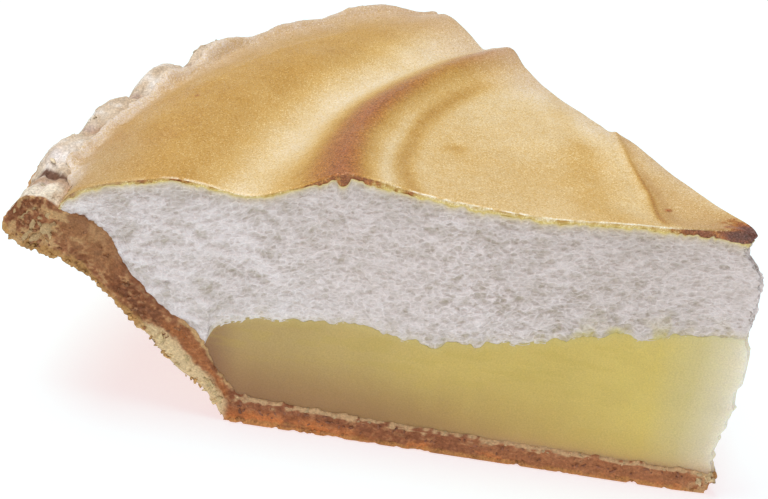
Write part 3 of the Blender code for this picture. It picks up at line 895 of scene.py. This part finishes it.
def foam_colours(points, radius, depth, below_skin, above_filling):
    """Colours of the foam: painted shade in its pits and under the skin, painted light low down towards the
    filling and the wall, and lemony near the filling.
    """
    shade = np.clip((depth - 0.06) / 0.5, 0.0, 1.0)
    cloud = noises(points, (1.0, 9.0, 59), (0.5, 4.0, 60))
    # Painted light: lighter just above the filling and towards the wall, varied by soft noise
    painted_light_low_left = fading(above_filling, 3.5) + 0.3 * cloud + 0.7 * rise(58.0, 86.0, radius)
    near_filling = fading(above_filling - 0.3, 0.7) * (radius < FILLING_EDGE_RADIUS)
    lemony = hump(radius, 16.0, 10.0) * fading(above_filling - 0.3, 1.6)
    return tinted(
        # Painted shade: darker and warmer the deeper the pit
        ramp(shade, FOAM_COLOURS),
        ((236, 229, 230), 0.42 * painted_light_low_left * (1.0 - 0.6 * shade)),
        # Painted shadow: greyer just under the skin's overhang
        ((180, 168, 160), 0.28 * fading(below_skin, 4.0) - 0.12 * cloud),
        ((178, 164, 152), 0.20 * hump(radius, 18.0, 13.0)),
        ((222, 196, 116), 0.8 * fading(below_skin, 0.6)),
        ((214, 198, 128), 0.5 * near_filling * (0.3 + shade)),
        ((214, 200, 118), 0.9 * lemony * rise(0.0, 0.5, noise(points / 2.4, 48))),
    )


def foam(name, start, end, open_at, look):
    """Half of the white foam under the skin, torn into pits where it is cut."""
    u, v, w, faces = block(FOAM_CELLS, ws=np.linspace(start, end, FOAM_CELLS[2] + 1), open_at=open_at)
    angle = SLICE_ANGLE * w
    radius = mix(TIP_RADIUS, ledge_at(angle)[0] - 0.3, u)
    top, under = meringue_heights(radius, w)
    bottom = skin_bottom(radius, angle, top, under)
    low = under + np.where(radius < FILLING_EDGE_RADIUS, filling_ragged(radius, angle) - 0.3, 0.1)
    high = np.maximum(bottom + 0.05, low + 0.02)
    even_low, even_high = settled(low, radius, w), settled(high, radius, w)
    height = mix(even_low, even_high, v) + (low - even_low) * (1.0 - v) ** 4 + (high - even_high) * v**8
    points = place(radius, angle, height)
    faces = outward(points, faces)
    below_skin, above_filling = bottom - height, height - low
    cut, at_tip = which_cut(w), u == 0.0
    side = round_the_slice(angle) * cut[:, None]
    side[at_tip & (cut == 0.0)] = (1.0, 0.0, 0.0)
    side[at_tip] += (0.9, 0.0, 0.0)
    depth = foam_relief(points, cut) + at_tip * noises(points, (0.35, 0.6, 57), (0.25, 0.32, 58))
    reach = rise(-0.2, 0.8, below_skin) * mix(0.25, 1.0, rise(0.0, 1.2, above_filling))
    reach *= np.minimum(1.0, 0.6 + (radius - TIP_RADIUS) / 5.0)
    moved = points - side * (np.maximum(0.0, depth + 0.1) * reach)[:, None]
    colours = foam_colours(points, radius, depth, below_skin, above_filling)
    piece(name, "meringue", moved, faces, look, colours, (u, v, w))


# ---- filling


def filling_ragged(radius, angle):
    """Bumps of the filling's top edge, in mm."""
    teeth = noises(flat_spots(radius, angle), (0.5, 3.0, 61), (0.6, 1.5, 62), (0.28, 0.8, 63))
    return fall(82.0, 84.4, radius) * teeth


def filling_colours(points, radius, above, share):
    """Colours of the filling: browner towards the base and the wall, with thin veins, and a painted
    brightening of its narrow tip.
    """
    veins = rise(0.2, 0.6, noises(points, (1.0, (4.0, 9.0, 0.5), 68))) * rise(8.0, 20.0, radius)
    return tinted(
        ramp(radius, FILLING_COLOURS),
        ((140, 88, 62), 0.70 * fall(-0.1, 0.85, share) * rise(6.0, 58.0, radius)),
        ((186, 146, 80), 0.36 * fading(above, 4.0) * fall(18.0, 42.0, radius)),
        ((188, 144, 106), 0.8 * fading(above, 1.1) * fall(28.0, 56.0, radius)),
        ((144, 102, 72), 0.6 * rise(78.0, 85.0, radius)),
        ((190, 164, 74), 0.2 * veins * rise(0.3, 0.7, share)),
        ((214, 194, 128), 0.3 * rise(0.9, 1.0, share)),
    )


def filling():
    """The lemon cream between the crust and the meringue."""
    u, v, w, faces = block(FILLING_CELLS)
    angle = SLICE_ANGLE * w
    station = np.where(u < 0.9, u / 0.9 * ST_BASE, ST_BASE + (u - 0.9) / 0.1 * (ST_FILL - ST_BASE))
    low_r, low_z = crust_path(station, angle, False)
    on_wall = np.clip((station - ST_BASE) / (ST_FILL - ST_BASE), 0.0, 1.0)
    wall_r = mix(crust_inner_at(ST_BASE)[0], FILLING_EDGE_RADIUS, on_wall)
    high_r = np.where(station < ST_BASE, low_r, wall_r)
    high_z = filling_height(high_r, angle) + filling_ragged(high_r, angle)
    radius, height = mix(low_r, high_r, v), mix(low_z - 0.45, high_z, v)
    points = place(radius, angle, height)
    faces = outward(points, faces)
    drag = noises(points, (1.0, (9.0, 30.0, 1.6), 64), (0.8, 2.2, 65))
    depth = 0.05 * np.maximum(0.0, 0.8 + drag) * np.minimum(1.0, 0.3 + (radius - TIP_RADIUS) / 5.0)
    scallops = 0.3 + noises(xyz(0.0, 0.0, height), (0.45, 2.2, 66), (0.3, 0.9, 67))
    side = round_the_slice(angle) * which_cut(w)[:, None]
    moved = points - side * depth[:, None] - xyz(scallops * fading(radius - TIP_RADIUS, 2.5), 0.0, 0.0)
    share = np.clip((height - low_z) / (high_z - low_z), 0.0, 1.0)
    colours = filling_colours(points, radius, height - low_z, share)
    piece("lemon_filling_cream", "lemon_filling", moved, faces, filling_material(), colours, (u, v, w))


# ---- crust


def crust_spots(station, share, angle):
    """The radius of points of the crust, the points, and how thick it is there."""
    low_r, low_z = crust_path(station, angle, True)
    high_r, high_z = crust_path(station, angle, False)
    radius = mix(low_r, high_r, share)
    return radius, place(radius, angle, mix(low_z, high_z, share)), np.hypot(high_r - low_r, high_z - low_z)


def crust_stations(cells, on_base):
    """Stations from the tip to the lip, with that share of the cells on the base."""
    base = round(cells * on_base)
    past_base = np.linspace(ST_BASE, ST_LIP, cells - base + 1)[1:]
    return np.concatenate([np.linspace(0, ST_BASE, base + 1), past_base])


def crust_lumps(points):
    """Relief of the baked outside, in mm."""
    risen = rough_noise(points / 4.2, 71) * 3.0
    steps = risen - np.floor(risen)
    layers = 0.22 * (rise(0.0, 0.85, steps) - rise(0.85, 1.0, steps))
    bumps = noises(points, (0.32, 6.0, 72), (0.20, 2.0, 73), (0.10, 0.8, 74))
    return bumps + layers - 0.35 * hollows(points / 2.4, 0.05, 0.4, 75)


def crust_crumb(points, along, across):
    """Relief of the pastry at a cut face, in mm: crumbs, pores and a few thin layers."""
    layers = noises(xyz(along, across, points[:, 1]), (0.10, (2.4, 0.6, 2.0), 81))
    crumbs = noises(points, (0.22, 2.6, 82), (0.16, 0.9, 83), (0.12, 0.45, 87))
    crumbs += 0.16 * hollows(points / 0.8, 0.1, 0.6, 86)
    pores = 0.55 * hollows(points / np.array([1.9, 1.9, 1.3]), 0.02, 0.38, 84)
    return layers + crumbs - pores - 0.34 * hollows(points / 0.75, 0.1, 0.6, 85)


def outside_colours(patch, fine, station, share, angle):
    """Colours of the crust outside and on top of the rim, with a painted shadow in the rim's hollow by the
    near cut and a painted highlight on the first lobe.
    """
    on_top = (share > 0.6) * rise(ST_LEDGE - 1, ST_LEDGE + 1, station)
    tone = patch + 0.3 * fine
    slant = angle + 0.2 * fine - 0.1 * (station - 29.0)
    # Painted shadow in the rim's hollow by the near cut
    hollow = rise(0.15, 0.65, hump(slant, 4.7, 0.42) * hump(station, 28.9, 3.4))
    return tinted(
        mix(ramp(tone, OUTSIDE_COLOURS), ramp(tone, RIM_COLOURS), on_top[:, None]),
        ((160, 112, 84), 0.5 * on_top * fall(0.0, 0.16, flute(angle))),
        # Painted highlight on the first lobe
        ((240, 236, 238), 0.8 * on_top * hump(angle, 6.8, 1.1) * hump(station, 29.4, 1.4)),
        ((104, 68, 50), 0.95 * on_top * hollow),
        ((236, 226, 208), 0.8 * on_top * fall(2.4, 3.4, angle) * rise(-0.5, 0.1, fine)),
    )


def cut_colours(patch, fine, finest, layer, station, share, along):
    """Colours of the crust where it is cut: base, lower wall, upper wall and the rim's end."""
    ragged = 0.06 * fine + 0.08 * layer + 0.05 * patch
    tone, flecks = patch + 0.3 * fine, fine + 0.4 * patch
    base = fall(ST_BASE, ST_BASE + 1, station)
    by_wall = rise(52.0, 68.0, along) * base
    patchy = mix(rise(0.0, 0.6, tone), rise(-0.7, 0.1, tone), by_wall)
    orange = fall(0.26, 0.48 + 0.2 * by_wall, share + 0.5 * ragged) * patchy
    wall = rise(12.3, 13.2, station) * fall(17.5, 19.0, station + 2.0 * patch)
    pale = fall(0.38, 0.52, share + 1.5 * ragged - 0.14 * fall(13.5, 16.5, station))
    upper = rise(17.5, 20.0, station)
    dark = rise(0.78, 0.97, share + ragged) * fall(25.0, 27.0, station)
    tan = rise(0.25, 0.5, share) * rise(22.0, 23.5, station) * fall(25.5, 27.0, station)
    flaky = rise(0.16, 0.5, 0.5 * layer + patch + 0.15 * finest) * rise(23.5, 26.0, station)
    return tinted(
        ramp(0.28 * patch + 0.38 * fine + 0.18 * layer + 0.38 * finest, CUT_COLOURS),
        ((160, 100, 68), 0.5 * base),
        ((216, 132, 72), 0.85 * base * orange),
        ((136, 78, 50), 0.45 * base * rise(75.5, 79.0, along) * rise(0.12, 0.25, share)),
        ((196, 132, 88), 0.42 * base * fall(26.0, 50.0, along)),
        ((212, 152, 90), 0.75 * base * fall(0.06, 0.2, share + ragged)),
        ((208, 172, 128), 0.85 * base * rise(0.80, 0.88, share + 1.4 * ragged) * rise(-0.9, -0.2, flecks)),
        ((216, 184, 134), 0.4 * base * fall(2.0, 6.0, along) * rise(-0.3, 0.3, fine)),
        ((232, 204, 158), 0.92 * wall * pale),
        ((180, 112, 66), 0.8 * wall * hump(share, 0.70, 0.20)),
        ((212, 176, 124), 0.7 * wall * rise(0.90, 0.98, share + 0.8 * ragged)),
        ((206, 160, 98), 0.7 * upper * fall(0.06, 0.24, share + ragged)),
        ((120, 70, 48), 0.5 * upper * dark),
        ((172, 124, 82), 0.5 * tan),
        ((204, 163, 114), 0.8 * flaky),
    )


def crust_colours(points, station, share, along, across, on_cut, angle):
    patch = rough_noise(points / 2.6, 91)
    fine, finest = noise(points / 0.8, 92), noise(points / 0.4, 94)
    layer = noises(xyz(along, across, points[:, 1]), (1.0, (2.6, 0.8, 3.0), 93))
    outside = outside_colours(patch, fine, station, share, angle)
    cut = cut_colours(patch, fine, finest, layer, station, share, along)
    return np.where(on_cut[:, None], cut, outside)


def outside_depth(points, station, share, angle, on_cut, slab):
    """How far the crust's outside stands out, in mm. What lies on it hides its inner side."""
    base_under = (share == 0.0) & (station <= ST_BASE)
    lumps = np.where((share == 1.0) & (station < ST_LEDGE - 0.3), 0.0, crust_lumps(points))
    lumps = np.where(base_under, -np.abs(lumps) * 0.5, lumps)
    crags = noises(points, (0.5, 2.1, 76), (0.3, 0.9, 77), (0.2, 0.45, 79)) - 0.55 * hump(station, 16.0, 2.8)
    lumps += (share == 0.0) * (station > ST_BASE + 0.5) * (slab != 0) * crags
    hollow = hump(angle - 0.1 * (station - 29.0), 4.6, 0.7) * hump(station, 28.9, 2.8)
    lumps -= 0.7 * (share == 1.0) * hollow
    return np.where(base_under & on_cut, 0.0, lumps)


def cut_depth(points, station, share, along, across):
    """How far the pastry stands out at a cut face, in mm. It is calmer on the lower wall and the base."""
    crumb = crust_crumb(points, along, across)
    calm = rise(12.3, 13.2, station) * fall(17.0, 19.0, station) * fall(0.45, 0.6, share)
    crumb = crumb * (1.0 - 0.55 * calm) * mix(0.7, 1.0, rise(ST_BASE, ST_BASE + 1, station))
    inner_edge = rise(0.74, 0.9, share) * fall(ST_LEDGE, ST_LEDGE + 1, station)
    return mix(crumb, 0.14 + 0.4 * np.abs(crumb), inner_edge)


def inner_teeth(points, station, share):
    """How far the crust's ragged inner edge reaches into the food, in mm."""
    high = 0.3 + 0.3 * noise(points, 78) + 1.1 * hump(station, 24.3, 1.1)
    low = np.maximum(0.0, 0.12 + noises(points, (0.5, 1.6, 88), (0.35, 0.7, 89)))
    past_filling = rise(ST_FILL, ST_FILL + 1, station)
    high_part = high * past_filling * fall(ST_LEDGE - 1, ST_LEDGE, station)
    return (high_part + low * (1.0 - past_filling)) * rise(0.6, 1.0, share)


def crust_piece(name, cells, on_base, ws, slab, look):
    """Part of the crust. A slab, -1 or 1, holds one cut face, and the body, 0, lies between the slabs."""
    open_at = {-1: 1.0, 1: 0.0}.get(slab)
    station, v, w, faces = block(cells, us=crust_stations(cells[0], on_base), ws=ws, open_at=open_at)
    rough_radius = mix(crust_under_at(station)[0], crust_inner_at(station)[0], v)
    edge = np.minimum(0.42 * SLICE_ANGLE, np.degrees(SLAB_DEPTH / rough_radius))
    far = SLICE_ANGLE - edge
    start, end = {-1: (0.0, edge), 0: (edge, far), 1: (far, SLICE_ANGLE)}[slab]
    angle = mix(start, end, w)
    radius, points, thick = crust_spots(station, v, angle)
    faces = outward(points, faces)
    along = np.where(station < ST_BASE, radius, ST_BASE * BASE_STEP + (station - ST_BASE) * WALL_STEP)
    on_cut = (which_cut(w) == slab) & (slab != 0)
    crumb = cut_depth(points, station, v, along, v * thick)
    lumps = outside_depth(points, station, v, angle, on_cut, slab)
    depth = np.where(on_cut & (v > 0.0) & (v < 1.0), np.clip(crumb, -1.1, 0.42), lumps)
    past_tip = np.minimum(1.0, 0.2 + (radius - TIP_RADIUS) / 6.0)
    moved = points + normals_of(points, faces) * (depth * past_tip)[:, None]
    if slab:
        inwards = crust_spots(station, 1.0, angle)[1] - crust_spots(station, 0.0, angle)[1]
        inwards /= np.linalg.norm(inwards, axis=1, keepdims=True)
        notches = np.maximum(0.0, noises(points, (1.0, 1.5, 90), (0.6, 0.6, 98)) - 0.15)
        low_edge = on_cut * (station <= ST_BASE) * fall(0.0, 0.16, v) * past_tip
        moved += inwards * inner_teeth(points, station, v)[:, None]
        moved += round_the_slice(angle) * (slab * low_edge * (0.40 - 0.5 * notches))[:, None]
    colours = crust_colours(points, station, v, along, v * thick, on_cut, angle)
    # Painted shade: the cut face is darker where its crumb sinks in
    dark = np.where(on_cut, 1.0 - 0.18 * rise(0.15, 0.7, -crumb), 1.0)
    piece(name, "crust", moved, faces, look, colours * dark[:, None], (station, v, w))


def flake_shapes(draw, spots, facings, sizes, flatness):
    """Points and triangles of small bent plates with uneven edges."""
    count = len(spots)
    across = np.cross(facings, draw.normal(size=(count, 3)))
    across /= np.linalg.norm(across, axis=1, keepdims=True)
    other = np.cross(facings, across)
    turn = np.linspace(0.0, 2.0 * math.pi, FLAKE_SIDES, endpoint=False)
    reach = sizes[:, None] * draw.uniform(0.7, 1.1, (count, FLAKE_SIDES)) / 2.0
    long = draw.uniform(1.0, 1.7, (count, 1))
    bent = draw.uniform(-0.16, 0.16, (count, FLAKE_SIDES)) * sizes[:, None]
    ring = across[:, None] * (reach * long * np.cos(turn))[..., None]
    ring += other[:, None] * (reach / long * np.sin(turn))[..., None] + facings[:, None] * bent[..., None]
    half = (sizes * flatness / 2.0)[:, None] * facings
    centre = (draw.uniform(-0.1, 0.2, count) * sizes)[:, None] * facings
    layers = [centre[:, None] + half[:, None], ring + 0.5 * half[:, None], ring - 0.5 * half[:, None]]
    points = np.concatenate([*layers, centre[:, None] - half[:, None]], 1) + spots[:, None]
    first = np.arange(FLAKE_SIDES)
    after = (first + 1) % FLAKE_SIDES
    high, low, last = 1, 1 + FLAKE_SIDES, 1 + 2 * FLAKE_SIDES
    sides = (
        (0 * first, high + first, high + after),
        (high + first, low + first, low + after),
        (high + first, low + after, high + after),
        (0 * first + last, low + after, low + first),
    )
    one = np.concatenate([np.stack(side, -1) for side in sides])
    return points, one + (np.arange(count) * (last + 1))[:, None, None]


def flakes(look):
    """Flakes and crumbs that stand out from the pastry, as one mesh."""
    draw = np.random.default_rng(FLAKE_SEED)
    points, faces, tints, start = [], [], [], 0
    for row, end in itertools.product(FLAKES.values(), (-1, 1)):
        count, stations, shares, where, sizes, flatness, stand_out, colour = row
        station, share = draw.uniform(*stations, count), draw.uniform(*shares, count)
        angle = draw.uniform(0.5, SLICE_ANGLE - 0.5, count)
        if where == "cut":
            angle = np.full(count, 0.0 if end < 0 else SLICE_ANGLE)
        spots, ahead = (crust_spots(station + by, share, angle)[1] for by in (0.0, 0.05))
        around = round_the_slice(angle)
        out = np.cross(ahead - spots, around)
        out *= np.sign(out[:, 2] * np.where(share > 0.5, 1.0, -1.0))[:, None]
        out /= np.linalg.norm(out, axis=1, keepdims=True)
        facing = around * end if where == "cut" else out
        size = draw.uniform(*sizes, count) ** 1.5 / sizes[1] ** 0.5
        spots = spots + facing * (stand_out * draw.uniform(-0.8, 1.0, count))[:, None]
        facing = facing + 0.3 * draw.normal(size=(count, 3))
        facing /= np.linalg.norm(facing, axis=1, keepdims=True)
        made, triangles = flake_shapes(draw, spots, facing, size, flatness)
        shade = draw.uniform(0.72, 1.12, (count, 1, 1))
        points.append(made.reshape(-1, 3))
        faces.append(triangles.reshape(-1, 3) + start)
        tints.append((linear(colour) * shade * np.ones(made.shape)).reshape(-1, 3))
        start += len(points[-1])
    points, faces, tints = (np.concatenate(lists) for lists in (points, faces, tints))
    piece("crust_flakes", "crust", points, faces, look, tints)


def crust(look):
    """The body and the two slabs, with places round the slice closer together at the rim's dark hollow."""
    ws = np.concatenate([np.linspace(0.0, 1.0, CRUST_CELLS[2] + 1), np.linspace(0.05, 0.12, 16)])
    crust_piece("crust_body", CRUST_CELLS, 0.34, np.unique(ws), 0, look)
    crust_piece("crust_near_cut", CRUST_SLAB_CELLS, 0.55, None, -1, look)
    crust_piece("crust_far_cut", CRUST_SLAB_CELLS, 0.55, None, 1, look)
    flakes(look)


# ---- stage


def soft_light(name, spot, size, power, colour):
    lamp = bpy.data.lights.new(name, "AREA")
    lamp.shape = "DISK"
    lamp.size = size
    lamp.energy = power
    lamp.color = colour
    light = bpy.data.objects.new(name, lamp)
    light.location = spot
    light.rotation_euler = (Vector(LIGHTS_AIM) - Vector(spot)).to_track_quat("-Z", "Y").to_euler()
    bpy.context.scene.collection.objects.link(light)


def studio():
    """A pale flat floor, soft lights and a pale surround."""
    bpy.ops.mesh.primitive_plane_add(size=6.0, location=(0.0, 0.0, -0.0002))
    floor = bpy.context.object
    floor.name = "floor"
    floor.data.materials.append(floor_material())
    world = bpy.data.worlds.new("surround")
    world.use_nodes = True
    surround = world.node_tree.nodes["Background"].inputs
    surround["Color"].default_value = SURROUND_COLOUR
    surround["Strength"].default_value = SURROUND_STRENGTH
    bpy.context.scene.world = world
    for name, settings in LIGHTS.items():
        soft_light(name, *settings)


def camera():
    """The camera of the picture, turned, raised and rolled round a point of the pie."""
    lens = bpy.data.cameras.new("camera")
    lens.lens, lens.sensor_width = CAMERA_LENS, 36.0
    lens.clip_start = 0.01
    turn, lift, roll = (math.radians(value) for value in (CAMERA_TURN, CAMERA_RISE, CAMERA_ROLL))
    aim = Vector(CAMERA_AIM) * MM + Vector(PIE_AXIS)
    back = Vector((math.sin(turn) * math.cos(lift), -math.cos(turn) * math.cos(lift), math.sin(lift)))
    level = Vector((math.cos(turn), math.sin(turn), 0.0))
    right = level * math.cos(roll) + back.cross(level) * math.sin(roll)
    axes = Matrix((right, back.cross(right), back)).transposed().to_4x4()
    eye = bpy.data.objects.new("camera", lens)
    eye.matrix_world = Matrix.Translation(aim + back * CAMERA_AWAY * MM) @ axes
    bpy.context.scene.collection.objects.link(eye)
    bpy.context.scene.camera = eye


# The base mount is on the slice's middle line
base = frame["record"]["mounts"][0]["pos_m"]
half = math.radians(SLICE_ANGLE / 2)
reach = MOUNT_RADIUS * MM
PIE_AXIS = np.array([base[0] + reach * math.cos(half), base[1] - reach * math.sin(half), 0.0])
crust_look, foam_look = crust_material(), foam_material()

skin()
foam("meringue_foam_near", 0.0, 0.5, 0.5, foam_look)
foam("meringue_foam_far", 0.5, 1.0, 0.5, foam_look)
filling()
crust(crust_look)
studio()
camera()
bpy.context.scene.view_settings.view_transform = "Standard"
